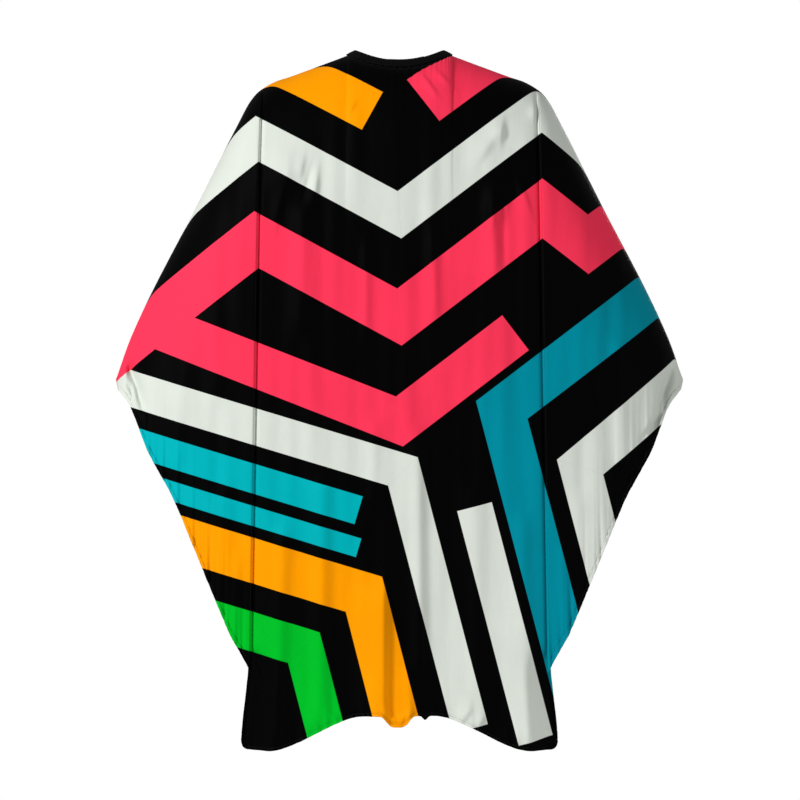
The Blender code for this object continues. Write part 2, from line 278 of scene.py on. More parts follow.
hem = {
    "width": 0.0048,
    "stitches": 0.0040,
    "thickness": 0.0013,
    "proud": 0.0006,
    "stitchDip": 0.0007,
    "stitchDipWidth": 0.0014,
    "pucker": 0.0027,
    "longPucker": (0.034, 0.022),  # length along the hem, and how far in it fades
    "shortPucker": (0.016, 0.010),
}


# a sewn hem draws the cloth up in small ripples that die out inwards
def pucker(along, inward, seed, height=hem["pucker"]):
    (longPitch, longFade), (shortPitch, shortFade) = hem["longPucker"], hem["shortPucker"]
    wave = ripple(along / longPitch, inward * 0, seed, 4)
    short = ripple(along / shortPitch, inward * 0, seed + 1.7, 3)
    near = np.maximum(inward, 0.0)
    return height * (wave * np.exp(-near / longFade) + 0.5 * short * np.exp(-near / shortFade))


# the narrow turned hem stands proud, with a dip at its stitches
def hemRoll(inward):
    band = ease((hem["width"] + 0.0006 - inward) / 0.0012)
    dip = np.exp(-((inward - hem["width"]) / hem["stitchDipWidth"]) ** 2)
    return hem["proud"] * band - hem["stitchDip"] * dip


# place gives x, y, z and the print's u, v for every point; sides turns the cloth's face out
def clothSheet(name, columns, rows, place, inward, sides, thickness=0.0006):
    bm = bmesh.new()
    bmesh.ops.create_grid(bm, x_segments=columns, y_segments=rows, size=0.5)
    mesh = bpy.data.meshes.new(name)
    bm.to_mesh(mesh)
    bm.free()
    co = np.empty(len(mesh.vertices) * 3)
    mesh.vertices.foreach_get("co", co)
    a, b = co.reshape(-1, 3)[:, 0] + 0.5, co.reshape(-1, 3)[:, 1] + 0.5
    x, y, z, u, v = place(a, b)
    mesh.vertices.foreach_set("co", np.stack([x, y, z], 1).ravel())
    corner = np.empty(len(mesh.loops), np.int32)
    mesh.loops.foreach_get("vertex_index", corner)
    uv = mesh.uv_layers.new(name="cloth")
    uv.data.foreach_set("uv", np.stack([u[corner], v[corner]], 1).ravel())
    obj = bpy.data.objects.new(name, mesh)
    scene.collection.objects.link(obj)
    if sides < 0:
        mesh.flip_normals()
    mesh.shade_smooth()
    edge = obj.vertex_groups.new(name="hem")
    near = inward(a, b)
    thin = thickness / hem["thickness"]
    weights = np.clip(thin + (1 - thin) * ease((hem["width"] + 0.0005 - near) / 0.001), 0, 1)
    weights = np.round(weights, 2)
    for level in np.unique(weights):
        picked = np.nonzero(weights == level)[0].tolist()
        edge.add(picked, float(level), "REPLACE")
    wall = obj.modifiers.new("Thickness", "SOLIDIFY")
    wall.thickness = hem["thickness"]
    wall.offset = 0.0
    wall.vertex_group = "hem"
    wall.material_offset = 1
    wall.material_offset_rim = 0
    mesh.update()
    return obj


lap = {
    "width": 0.005,  # how far a side panel lies over the centre panel
    "lift": 0.0009,
    "swell": 0.0006,
    "swellWidth": 0.022,
    "dip": 0.0052,
    "dipWidth": 0.0021,
    "valley": 0.0040,
    "valleyWidth": 0.0034,
    "hollow": 0.0012,
    "hollowWidth": 0.040,
    "run": 0.02,  # how soon the seam reaches its full depth below the shoulder
    "stitches": 0.0030,
}


printLay = {
    "takeUp": 0.16,
    "takeUpRun": 0.004,
    "drift": 0.6,  # how far the print slides down per metre towards the back
    "driftStart": 0.02,
}


# cloth taken up by the curve over the shoulder and arm, so that the print isn't drawn out there
def extraFall(x, z):
    drop = np.maximum(0.0, topHeight(x, -1) - z)
    reach = np.maximum(0.0, cut["frontDepth"] * girth(x) - topDepth(x))
    return printLay["takeUp"] * reach * np.exp(-drop / printLay["takeUpRun"])


# the print's own coordinates, so that front and back don't mirror each other over the arm
def printPlace(x, y, z):
    behind = np.maximum(0.0, y)
    return x, z + extraFall(x, z) + printLay["drift"] * behind ** 2 / (behind + printLay["driftStart"])


# share of the rows above the hem zone, share of the fall they cover, and how they thin out upwards
rowsOf = {"front": (0.86, 0.972, 1.35), "back": (0.82, 0.945, 1.35), "side": (0.80, 0.955, 1.6)}


def rowSpread(t, turn, share, power):
    above = share * (np.clip(t / turn, 0, 1)) ** power
    return np.where(t < turn, above, share + (1 - share) * (t - turn) / (1 - turn))


def centrePlace(u, v, side):
    startX = topX(u)
    startZ = topHeight(startX, side)
    if side < 0:
        fall = rowSpread(v, *rowsOf["front"])
        radius = cut["cornerRound"]
        near = np.clip((1 - np.abs(u)) * 0.23, 0, radius)
        hemZ = frontHemZ(u * 0.221) + radius - np.sqrt(radius ** 2 - (radius - near) ** 2)
    else:
        fall = rowSpread(v, *rowsOf["back"])
        hemZ = backHemZ(u * cut["seamTop"])
    z = mix(startZ, hemZ, fall)
    x = mix(startX, u * seamX(z), ease((startZ - z) / 0.30))
    return x, z, hemZ


# the centre panel dips where the side panel is lapped over it
def seamValley(x, z):
    q = np.maximum(0.0, seamX(z) - np.abs(x))
    shoulderZ = topHeight(np.full_like(z, cut["shoulderEnd"]), -1)
    reach = ease((shoulderZ - z) / lap["run"]) * ease((z - cut["skirtTop"] + 0.02) / 0.05)
    bare = np.maximum(0.0, q - lap["width"])
    valley = lap["valley"] * np.exp(-(bare / lap["valleyWidth"]) ** 2)
    hollow = lap["hollow"] * np.exp(-(q / lap["hollowWidth"]) ** 2)
    return -(valley + hollow) * reach


def frontPoint(u, v):
    x, z, hemZ = centrePlace(u, v, -1)
    inward = (z - hemZ) * 0.96
    skirtSide = np.where(z < cut["skirtTop"] - 0.004, (seamX(z) - np.abs(x)), 1.0)
    pleats = gathers(x, z, -1)
    out = frontRelief(x, z) + pleats + seamValley(x, z)
    out = out + pucker(x, inward, 2.0) + hemRoll(inward)
    out = out + pucker(z, skirtSide, 4.0, 0.0010) + hemRoll(skirtSide)
    curl = ease((np.abs(u) - 0.80) / 0.20) * ease((cut["skirtTop"] + 0.04 - z) / 0.05)
    y = plainY(x, z, -1) - out + cut["cornerCurl"] * curl
    return x, y, z + 0.8 * pleats, inward, skirtSide


def makeFront():
    def spread(a):
        u = a * 2 - 1
        return u * (1.15 - 0.15 * u ** 2)  # columns lie closer near the seams

    def place(a, b):
        x, y, z, _, _ = frontPoint(spread(a), b)
        smoothZ = centrePlace(spread(a), b, -1)[1]
        return x, y, z, *printPlace(x, y, smoothZ)

    def inward(a, b):
        _, _, _, near, side = frontPoint(spread(a), b)
        return np.minimum(near, side)
    return clothSheet("front_cloth", 230, 210, place, inward, -1)


def backPoint(u, v, under):
    x, z, hemZ = centrePlace(u, v, 1)
    inward = (z - hemZ) * 0.99
    drop = np.maximum(0.0, topHeight(topX(u), 1) - z)
    out = backRelief(x, z) + gathers(x, z, 1) + seamValley(x, z) * 0.6
    out = out + pucker(x, inward, 6.0) + hemRoll(inward)
    y = plainY(x, z, 1) + out - under
    return x, y, z - under * np.exp(-drop / 0.03), inward


lapShare = neckShare * math.asin(cut["backLap"] / cut["neckHalfWidth"]) / (math.pi / 2)


# place across the back, how far this half lies under the other, and the distance from its free edge
def backShare(a, sign):
    u = sign * mix(-lapShare, 1, a)
    under = cut["underStep"] * ease((0.34 - np.abs(u)) / 0.2) if sign > 0 else 0.0 * u
    return u, under, (sign * u + lapShare) * cut["seamTop"] * 0.9


def makeBack(name, sign):
    def point(a, b):
        u, under, edge = backShare(a, sign)
        x, y, z, near = backPoint(u, b, under)
        return x, y + 0.6 * hemRoll(edge) + pucker(z, edge, 8.0 + sign, 0.0008), z, np.minimum(near, edge)

    def place(a, b):
        x, y, z, _ = point(a, b)
        return x, y, z, *printPlace(x, y, z)
    return clothSheet(name, 110, 150, place, lambda a, b: point(a, b)[3], sign)


# a side panel: over 0 is the front hem, 0.5 the arm fold and 1 the back hem
# sign -1 is the wearer's right arm
def sidePoint(out, over, sign):
    c = cut
    out = out ** 1.2
    fall = rowSpread(np.abs(2 * over - 1), *rowsOf["side"])
    foldX = mix(c["shoulderEnd"], c["sideCorner"], out)
    parts = []
    for side in (-1, 1):
        innerX = c["sideHem"][0][0] if side < 0 else seamX(c["backHem"])
        hemX = mix(innerX, c["sideHem"][-1][0], out)
        hemZ = alongOutline(c["sideHem"], hemX) if side < 0 else backHemZ(hemX)
        z = mix(topHeight(foldX, side), hemZ, fall)
        lapped = seamX(z) - lap["width"] * ease((fall - 0.0004) / 0.003)
        x = mix(foldX, hemX, fall)
        x = x + (lapped - mix(c["shoulderEnd"], innerX, fall)) * np.maximum(0.0, 1 - out / 0.12)
        q = np.maximum(0.0, x - lapped)
        below = np.abs(z - topHeight(x, side))
        away = ease(below / 0.05)
        swellOut = lap["swell"] * np.exp(-(q / lap["swellWidth"]) ** 2)
        dipIn = lap["dip"] * np.exp(-(q / lap["dipWidth"]) ** 2)
        lapRoll = (swellOut - dipIn) * ease(below / lap["run"]) + lap["lift"]
        relief = (frontRelief(sign * x, z) if side < 0 else backRelief(sign * x, z)) * away
        slope = 0.42 if side < 0 else 0.97
        near = (1 - fall) * np.abs(topHeight(foldX, side) - hemZ) * slope
        near = np.minimum(near, np.maximum(0.0, 1 - out) * 0.25 + 0.003)
        proud = relief + lapRoll + pucker(sign * hemX / slope, near, 9.0 + side) + hemRoll(near)
        parts.append((x, plainY(x, z, side) + side * proud, z, near))
    return tuple(np.where(over < 0.5, f, b) for f, b in zip(*parts))


def makeSide(name, sign):
    def place(a, b):
        x, y, z, _ = sidePoint(a, b, sign)
        return sign * x, y, z, *printPlace(sign * x, y, z)
    return clothSheet(name, 110, 300, place, lambda a, b: sidePoint(a, b, sign)[3], sign)


def newMaterial(name, colour, roughness, metallic=0.0, specular=0.5):
    made = bpy.data.materials.new(name)
    made.use_nodes = True
    shader = made.node_tree.nodes["Principled BSDF"]
    shader.inputs["Base Color"].default_value = (*colour, 1)
    shader.inputs["Roughness"].default_value = roughness
    shader.inputs["Metallic"].default_value = metallic
    shader.inputs["Specular IOR Level"].default_value = specular
    return made, made.node_tree, shader


def node(tree, kind, links=None, **values):
    made = tree.nodes.new(kind)
    for key, value in values.items():
        setattr(made, key, value)
    for socket, value in (links or {}).items():
        if isinstance(value, bpy.types.NodeSocket):
            tree.links.new(value, made.inputs[socket])
        else:
            made.inputs[socket].default_value = value
    return made


def mathNode(tree, operation, a, b=0.0, c=0.0):
    return node(tree, "ShaderNodeMath", {0: a, 1: b, 2: c}, operation=operation).outputs[0]


# the print: plain zigzag and mitred bands on black, all in a few directions; points and widths in metres
printBlocks = {
    "white": {
        "colour": (0.63, 0.67, 0.61),
        "bands": (
            (0.058, (-0.46, -0.300), (-0.210, -0.108), (0.0, -0.222), (0.210, -0.062), (0.46, -0.254)),
            (0.052, (-0.46, -0.458), (0.005, -0.598), (0.104, -0.975)),
            (0.052, (0.110, -0.650), (0.200, -0.993)),
            (0.060, (0.46, -0.430), (0.265, -0.592), (0.330, -0.840)),
        ),
    },
    "pink": {
        "colour": (0.90, 0.036, 0.09),
        "bands": (
            (0.070, (-0.46, -0.450), (-0.210, -0.258), (0.0, -0.372), (0.210, -0.212), (0.278, -0.264),
             (0.46, -0.126)),
            (0.064, (-0.46, -0.345), (0.0, -0.525), (0.170, -0.395)),
            (0.078, (0.035, -0.052), (0.155, 0.040)),
        ),
    },
    "orange": {
        "colour": (0.91, 0.31, 0.0),
        "bands": (
            (0.064, (-0.260, 0.052), (-0.040, -0.068)),
            (0.064, (-0.46, -0.655), (-0.052, -0.778), (0.013, -1.030)),
        ),
    },
    "teal": {
        "colour": (0.0, 0.238, 0.315),
        "bands": (
            (0.066, (0.46, -0.272), (0.150, -0.508), (0.278, -0.995)),
        ),
    },
    "turquoise": {
        "colour": (0.0, 0.395, 0.435),
        "bands": (
            (0.042, (-0.46, -0.535), (-0.060, -0.655)),
            (0.028, (-0.46, -0.590), (-0.060, -0.710)),
        ),
    },
    "green": {
        "colour": (0.0, 0.468, 0.020),
        "bands": (
            (0.056, (-0.36, -0.790), (-0.140, -0.856), (-0.091, -1.045)),
        ),
    },
}


# the four-sided pieces of a band with mitred corners
def bandQuads(width, *points):
    points = [Vector((*p, 0)) for p in points]
    runs = [(b - a).normalized() for a, b in zip(points, points[1:])]
    across = [Vector((-r.y, r.x, 0)) for r in runs]
    sides = []
    for i, point in enumerate(points):
        before, after = across[max(i - 1, 0)], across[min(i, len(runs) - 1)]
        bisector = (before + after).normalized()
        sides.append(bisector * (width / 2 / max(0.3, bisector.dot(after))))
    lower = [point - side for point, side in zip(points, sides)]
    upper = [point + side for point, side in zip(points, sides)]
    return [(lower[i], lower[i + 1], upper[i + 1], upper[i]) for i in range(len(runs))]


groundBlack = (0.0006, 0.0006, 0.0007)


# black ground with the colour blocks over it; position carries (u, v, 1)
def printColour(tree, position):
    shown = None
    for name, block in printBlocks.items():
        field = None
        for band in block["bands"]:
            for quad in bandQuads(*band):
                inside = None
                for a, b in zip(quad, quad[1:] + quad[:1]):
                    edge = (b - a).normalized()
                    facing = Vector((-edge.y, edge.x, 0))
                    plane = {0: position, 1: (facing.x, facing.y, -facing.dot(a))}
                    line = node(tree, "ShaderNodeVectorMath", plane, operation="DOT_PRODUCT")
                    within = line.outputs["Value"]
                    inside = within if inside is None else mathNode(tree, "MINIMUM", inside, within)
                field = inside if field is None else mathNode(tree, "MAXIMUM", field, inside)
        mask = node(tree, "ShaderNodeMapRange", {"Value": field, "From Min": -0.0005, "From Max": 0.0002})
        layer = node(tree, "ShaderNodeMix", data_type="RGBA")
        tree.links.new(mask.outputs[0], layer.inputs[0])
        if shown is None:
            layer.inputs[6].default_value = (*groundBlack, 1)
        else:
            tree.links.new(shown, layer.inputs[6])
        layer.inputs[7].default_value = (*block["colour"], 1)
        shown = layer.outputs[2]
    return shown


# crossed threads, and soft wrinkles under them
def weaveBump(tree, shader, coords, pitch, depth, wrinkle=0.0):
    height = None
    if wrinkle:
        stretched = node(tree, "ShaderNodeMapping", {0: coords, "Scale": (26.0, 7.0, 1.0)}).outputs[0]
        noise = node(tree, "ShaderNodeTexNoise",
                     {"Vector": stretched, "Scale": 1.0, "Detail": 3.0, "Roughness": 0.45})
        soft = node(tree, "ShaderNodeBump", {"Height": noise.outputs[0], "Distance": wrinkle})
        height = soft.outputs[0]
    turns = []
    scale = math.pi / 20 / pitch  # a band of the wave texture is pi / (10 * scale) wide, here two pitches
    for axis in ("X", "Y"):
        wave = node(tree, "ShaderNodeTexWave", {"Vector": coords, "Scale": scale}, wave_type="BANDS",
                    bands_direction=axis)
        turns.append(wave.outputs["Fac"])
    threads = mathNode(tree, "MAXIMUM", turns[0], turns[1])
    fine = node(tree, "ShaderNodeBump", {"Height": threads, "Distance": depth})
    if height is not None:
        tree.links.new(height, fine.inputs["Normal"])
    tree.links.new(fine.outputs[0], shader.inputs["Normal"])


def makePrintedCloth(name, show):
    made, tree, shader = newMaterial(name, (0.6, 0.6, 0.6), 0.6, specular=0.02)
    uv = node(tree, "ShaderNodeUVMap", uv_map="cloth").outputs[0]
    position = node(tree, "ShaderNodeVectorMath", {0: uv, 1: (0, 0, 1)}, operation="ADD").outputs[0]
    colour = printColour(tree, position)
    tone = node(tree, "ShaderNodeTexNoise", {"Vector": uv, "Scale": 9.0, "Detail": 4.0})
    level = node(tree, "ShaderNodeMapRange", {"Value": tone.outputs[0], "From Min": 0.3, "From Max": 0.7,
                                              "To Min": 0.955, "To Max": 1.02})
    shaded = node(tree, "ShaderNodeVectorMath", {0: colour, 1: level.outputs[0]}, operation="MULTIPLY")
    if show < 1:
        pale = node(tree, "ShaderNodeMix", {0: show, 6: (0.60, 0.61, 0.60, 1)}, data_type="RGBA")
        tree.links.new(shaded.outputs[0], pale.inputs[7])
        tree.links.new(pale.outputs[2], shader.inputs["Base Color"])
    else:
        tree.links.new(shaded.outputs[0], shader.inputs["Base Color"])
    weaveBump(tree, shader, uv, 0.0007, 0.00003, 0.0022)
    return made


print("cloth panels")
printed = makePrintedCloth("printed cloth", 1.0)
reverse = makePrintedCloth("cloth reverse", 0.16)
panels = {
    "front_cloth": (makeFront(), "front_panel"),
    "back_cloth_left": (makeBack("back_cloth_left", -1), "back_panel_left"),
    "back_cloth_right": (makeBack("back_cloth_right", 1), "back_panel_right"),
    "side_cloth_left": (makeSide("side_cloth_left", -1), "side_panel_left"),
    "side_cloth_right": (makeSide("side_cloth_right", 1), "side_panel_right"),
}
for panel, cadName in panels.values():
    panel.data.materials.append(printed)
    panel.data.materials.append(reverse)
    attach(panel, "cape")
    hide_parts(cadName)

band = {
    "topHalfWidth": 0.066,
    "topHalfDepth": 0.050,
    "frontTop": 0.0115,
    "sideTop": 0.030,
    "backTop": 0.021,
    "lift": 0.0012,
    "ply": 0.0007,
    "plySpacing": 0.0024,
    "start": math.radians(-165),
    "end": math.radians(190),
    "plyShare": 0.42,
    "foldBulge": 0.06,
    "puff": 0.00028,
    "pull": 0.00010,
    "stitchDip": 0.00022,
    "stitchRows": (0.10, 0.90),
    "bottom": -0.10,  # as shares of the band's height: just under the seam, and short of the fold
    "top": 0.94,
}
tab = {
    "start": -0.029,
    "end": 0.044,
    "halfHeight": 0.0085,
    "rootOffset": 0.0027,
    "spanOffset": 0.0054,
    "cloth": 0.0014,
    "rise": 0.022,
    "tip": 0.010,
    "tipNarrowing": 0.35,
    "stitchInset": 0.0018,
    "stitchDip": 0.0002,
    "stitchDipWidth": 0.0006,
    "puff": 0.00022,
    "puffRun": 0.003,
}


def bandPoint(angle, rise):
    back = max(0.0, -math.cos(angle)) ** 2
    sides = math.sin(angle) ** 2
    low = cut["neckSideRise"] * sides + cut["neckBackRise"] * back + band["lift"]
    high = mix(band["frontTop"], band["sideTop"], sides) + (band["backTop"] - band["frontTop"]) * back
    return Vector((mix(cut["neckHalfWidth"], band["topHalfWidth"], rise) * math.sin(angle),
                   -mix(cut["neckHalfDepth"], band["topHalfDepth"], rise) * math.cos(angle),
                   mix(low, high, rise)))


# outward, along and up at one place on the band
def bandAxes(angle, rise=0.5):
    step = 0.001
    along = (bandPoint(angle + step, rise) - bandPoint(angle - step, rise)).normalized()
    up = (bandPoint(angle, 1.0) - bandPoint(angle, 0.0)).normalized()
    outward = along.cross(up).normalized()
    return outward, along, outward.cross(along).normalized()


def bandHeight(rise):
    return mix(band["bottom"], band["top"], rise)


def angleAt(x):
    return math.pi - math.asin(x / mix(cut["neckHalfWidth"], band["topHalfWidth"], 0.5))


# place gives a Vector for every point; the UV map is the sheet laid flat, in metres
def smallSheet(name, columns, rows, place, thickness, flip=False):
    bm = bmesh.new()
    bmesh.ops.create_grid(bm, x_segments=columns, y_segments=rows, size=0.5)
    uv = bm.loops.layers.uv.new("cloth")
    flat = {}
    for vert in bm.verts:
        a, b = vert.co.x + 0.5, vert.co.y + 0.5
        point, flat[vert] = place(a, b)
        vert.co = point
    for face in bm.faces:
        for loop in face.loops:
            loop[uv].uv = flat[loop.vert]
    if flip:
        bmesh.ops.reverse_faces(bm, faces=bm.faces)
    mesh = bpy.data.meshes.new(name)
    bm.to_mesh(mesh)
    bm.free()
    mesh.shade_smooth()
    obj = bpy.data.objects.new(name, mesh)
    scene.collection.objects.link(obj)
    wall = obj.modifiers.new("Thickness", "SOLIDIFY")
    wall.thickness = thickness
    wall.offset = 0.0
    edge = obj.modifiers.new("Soft edge", "BEVEL")
    edge.width = thickness * 0.3
    edge.segments = 2
    edge.limit_method = "ANGLE"
    edge.angle_limit = math.radians(60)
    return obj


def makeBand():
    half = band["plySpacing"] / 2

    def place(around, over):
        angle = mix(band["start"], band["end"], around)
        outward = bandAxes(angle)[0]
        ply = band["plyShare"]
        if over < ply:
            rise, offset = over / ply, half
        elif over > 1 - ply:
            rise, offset = (1 - over) / ply, -half
        else:
            turn = (over - ply) / (1 - 2 * ply) * math.pi
            rise, offset = 1.0 + band["foldBulge"] * math.sin(turn), half * math.cos(turn)
        stitched = sum(math.exp(-((rise - row) / 0.05) ** 2) for row in band["stitchRows"])
        puff = band["puff"] * math.sin(math.pi * min(1.0, max(0.0, rise))) - band["stitchDip"] * stitched
        pull = band["pull"] * math.sin(angle * 61 + 2.0 * math.sin(angle * 7)) * (1 - stitched)
        offset += math.copysign(puff + pull, offset) if rise < 1 else 0.0
        return bandPoint(angle, bandHeight(rise)) + outward * offset, (angle * 0.070, over * 0.038)
    return smallSheet("neckband_cloth", 300, 26, place, band["ply"])


# angle on the band, distance out of it and half height, at a place along the tab
def tabSection(x):
    offset = mix(tab["rootOffset"], tab["spanOffset"], float(ease((x - tab["start"]) / tab["rise"])))
    tip = float(ease((x - tab["end"] + tab["tip"]) / tab["tip"]))
    return angleAt(x), offset, tab["halfHeight"] * (1 - tab["tipNarrowing"] * tip * tip)


def makeTab():
    length = tab["end"] - tab["start"]

    def place(a, b):
        angle, offset, half = tabSection(mix(tab["start"], tab["end"], a))
        outward, _, up = bandAxes(angle)
        rim = min(b, 1 - b) * 2 * half
        near = min(rim, min(a, 1 - a) * length)
        dip = tab["stitchDip"] * math.exp(-((near - tab["stitchInset"]) / tab["stitchDipWidth"]) ** 2)
        offset += tab["puff"] * min(1.0, near / tab["puffRun"]) - dip
        return bandPoint(angle, 0.5) + outward * offset + up * mix(-half, half, b), (a * 0.075, b * 2 * half)
    return smallSheet("tab_cloth", 110, 26, place, tab["cloth"])


label = {
    "angle": math.radians(-146),
    "width": 0.0278,
    "curl": 0.0012,
    "twist": 0.0006,
    "fold": 0.00035,
    "thickness": 0.0004,
}


def makeLabel():
    lowBox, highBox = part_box("care_label")
    along = bandAxes(label["angle"])[1]
    flat = Vector((along.x, along.y, 0)).normalized()
    across = Vector((0, 0, 1)).cross(flat)
    middleTop = Vector(((lowBox.x + highBox.x) / 2, (lowBox.y + highBox.y) / 2, highBox.z))
    width, drop = label["width"], highBox.z - lowBox.z

    def place(a, b):
        fall = 1 - b
        curl = label["curl"] * fall ** 2 * math.cos((a - 0.5) * math.pi)
        curl += label["twist"] * math.sin(a * math.pi * 2) * fall
        fold = label["fold"] * math.exp(-((fall - 0.07) / 0.02) ** 2)
        hung = middleTop - Vector((0, 0, drop * fall * 0.995))
        return hung + flat * (width * (a - 0.5)) + across * (curl - fold), (a * width, b * drop)
    return smallSheet("label_tape", 28, 42, place, label["thickness"])


def clothMaterial(name, colour, roughness, pitch, depth, sheen, tone):
    made, tree, shader = newMaterial(name, colour, roughness, specular=0.05)
    shader.inputs["Sheen Weight"].default_value = sheen
    shader.inputs["Sheen Roughness"].default_value = 0.45
    uv = node(tree, "ShaderNodeUVMap", uv_map="cloth").outputs[0]
    noise = node(tree, "ShaderNodeTexNoise", {"Vector": uv, "Scale": 160.0, "Detail": 3.0})
    low = tuple(c * (1 - tone) for c in colour)
    high = tuple(min(1.0, c * (1 + tone)) for c in colour)
    tint = node(tree, "ShaderNodeMix", {0: noise.outputs[0], 6: (*low, 1), 7: (*high, 1)}, data_type="RGBA")
    tree.links.new(tint.outputs[2], shader.inputs["Base Color"])
    weaveBump(tree, shader, uv, pitch, depth)
    return made


print("neckband, tab and label")
bandBlack = (0.0016, 0.0016, 0.0018)
bandCloth = clothMaterial("band cloth", bandBlack, 0.72, 0.0008, 0.00005, sheen=0.0, tone=0.35)
labelCloth = clothMaterial("label satin", (0.80, 0.80, 0.77), 0.35, 0.0004, 0.00002, sheen=0.1, tone=0.03)
bandPiece = makeBand()
tabPiece = makeTab()
labelPiece = makeLabel()
for piece, body, cadName, slotName, material in (
        (bandPiece, "cape", "neckband", "neckband_cloth", bandCloth),
        (tabPiece, "tab", "closure_tab", "neckband_cloth", bandCloth),
        (labelPiece, "label", "care_label", "label_cloth", labelCloth)):
    piece.data.materials.append(material)
    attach(piece, body)
    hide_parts(cadName)

felt, feltTree, feltShader = newMaterial("interlining felt", (0.8, 0.8, 0.77), 0.95)
feltPlace = node(feltTree, "ShaderNodeTexCoord").outputs["Object"]
feltNoise = node(feltTree, "ShaderNodeTexNoise", {"Vector": feltPlace, "Scale": 2500.0, "Detail": 2.0})
feltTones = {0: feltNoise.outputs[0], 6: (0.70, 0.70, 0.67, 1), 7: (0.86, 0.86, 0.84, 1)}
feltTint = node(feltTree, "ShaderNodeMix", feltTones, data_type="RGBA")
feltTree.links.new(feltTint.outputs[2], feltShader.inputs["Base Color"])
feltBump = node(feltTree, "ShaderNodeBump", {"Height": feltNoise.outputs[0], "Distance": 0.0001})
feltTree.links.new(feltBump.outputs[0], feltShader.inputs["Normal"])
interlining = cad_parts["neckband_interlining"]
interlining.data.materials.clear()
interlining.data.materials.append(felt)

snap = {
    "count": 6,
    "first": 0.006,
    "pitch": 0.0125,
    "caught": (1, 2),
    "steps": 40,
    "face": 0.00185,
    "room": 0.0005,
    "gap": 0.0003,
    "socketHeight": 0.0012,
}
snapShapes = {  # radius and height in millimetres, along the outside of each turned piece
    "stud": ((0, 0.15), (3.3, 0.15), (3.5, 0.0), (4.2, 0.0), (4.45, 0.12), (4.5, 0.3), (4.4, 0.5), (4.1, 0.6),
             (3.0, 0.62), (2.3, 0.7), (1.85, 0.95), (1.7, 1.15), (1.85, 1.4), (1.95, 1.55), (1.75, 1.75),
             (1.2, 1.85), (0, 1.8)),
    "back": ((0, -0.35), (1.4, -0.35), (1.6, -0.6), (2.2, -0.68), (3.4, -0.62), (4.0, -0.45), (4.2, -0.25),
             (4.1, -0.05), (3.8, 0.0), (0, 0.0)),
    "socket": ((2.9, 0.15), (3.05, 0.02), (3.6, 0.0), (4.2, 0.1), (4.5, 0.4), (4.5, 0.85), (4.3, 1.15),
               (3.9, 1.2), (3.2, 1.15), (2.95, 1.0), (2.9, 0.15)),
    "cap": ((0, 0), (4.4, 0), (4.85, 0.15), (5.0, 0.4), (4.85, 0.7), (4.4, 0.95), (3.8, 1.05), (3.4, 1.0),
            (3.1, 1.08), (2.0, 1.28), (1.0, 1.38), (0, 1.4)),
}


def turned(name, shape, angle, offset, material):
    bm = bmesh.new()
    ends = [bm.verts.new((r / 1000, 0, h / 1000)) for r, h in shape]
    edges = [bm.edges.new(pair) for pair in zip(ends, ends[1:])]
    bmesh.ops.spin(bm, geom=ends + edges, cent=(0, 0, 0), axis=(0, 0, 1), angle=math.tau,
                   steps=snap["steps"], use_merge=True)
    bmesh.ops.remove_doubles(bm, verts=bm.verts, dist=1e-6)
    bmesh.ops.dissolve_degenerate(bm, edges=bm.edges, dist=1e-7)
    bmesh.ops.recalc_face_normals(bm, faces=bm.faces)
    outward, along, up = bandAxes(angle)
    turn = Matrix((along, up, outward)).transposed().to_4x4()
    seat = Matrix.Translation(bandPoint(angle, 0.5) + outward * offset)
    bmesh.ops.transform(bm, matrix=seat @ turn, verts=bm.verts)
    mesh = bpy.data.meshes.new(name)
    bm.to_mesh(mesh)
    bm.free()
    mesh.shade_smooth()
    mesh.set_sharp_from_angle(angle=math.radians(50))
    mesh.materials.append(material)
    obj = bpy.data.objects.new(name, mesh)
    scene.collection.objects.link(obj)
    return obj


def snapMetal():
    made, tree, shader = newMaterial("nickel", (0.72, 0.71, 0.69), 0.26, metallic=1.0)
    place = node(tree, "ShaderNodeTexCoord").outputs["Object"]
    wear = node(tree, "ShaderNodeTexNoise", {"Vector": place, "Scale": 900.0, "Detail": 4.0})
    tones = {0: wear.outputs[0], 6: (0.58, 0.57, 0.54, 1), 7: (0.82, 0.81, 0.79, 1)}
    tint = node(tree, "ShaderNodeMix", tones, data_type="RGBA")
    tree.links.new(tint.outputs[2], shader.inputs["Base Color"])
    rough = node(tree, "ShaderNodeMapRange", {"Value": wear.outputs[0], "To Min": 0.18, "To Max": 0.36})
    tree.links.new(rough.outputs[0], shader.inputs["Roughness"])
    bump = node(tree, "ShaderNodeBump", {"Height": wear.outputs[0], "Distance": 0.00001})
    tree.links.new(bump.outputs[0], shader.inputs["Normal"])
    return made


print("snaps")
nickel = snapMetal()


def addSnap(kind, shape, number, place, offset, body):
    angle = angleAt(snap["first"] + snap["pitch"] * place)
    piece = turned(f"{kind}_{number}", snapShapes[shape], angle, offset, nickel)
    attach(piece, body)
    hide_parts(f"snap_{kind}_{number}")


for i in range(snap["count"]):
    addSnap("stud", "stud", i + 1, i, snap["face"], "cape")
    addSnap("stud_back", "back", i + 1, i, -snap["face"] - snap["room"], "cape")
for number, place in enumerate(snap["caught"], 1):
    tabFace = tab["cloth"] / 2 + snap["gap"]
    addSnap("socket", "socket", number, place, tab["spanOffset"] - tabFace - snap["socketHeight"], "tab")
    addSnap("cap", "cap", number, place, tab["spanOffset"] + tabFace, "tab")

threadCut = {
    "radius": 0.00014,
    "sides": 5,
    "share": 0.70,
    "clothPitch": 0.0030,
    "bandPitch": 0.0026,
    "hemFace": 0.0007,  # from the middle of the cloth to its face, at a hem, a lap and a shoulder
    "lapFace": 0.00045,
    "shoulderFace": 0.00035,
}


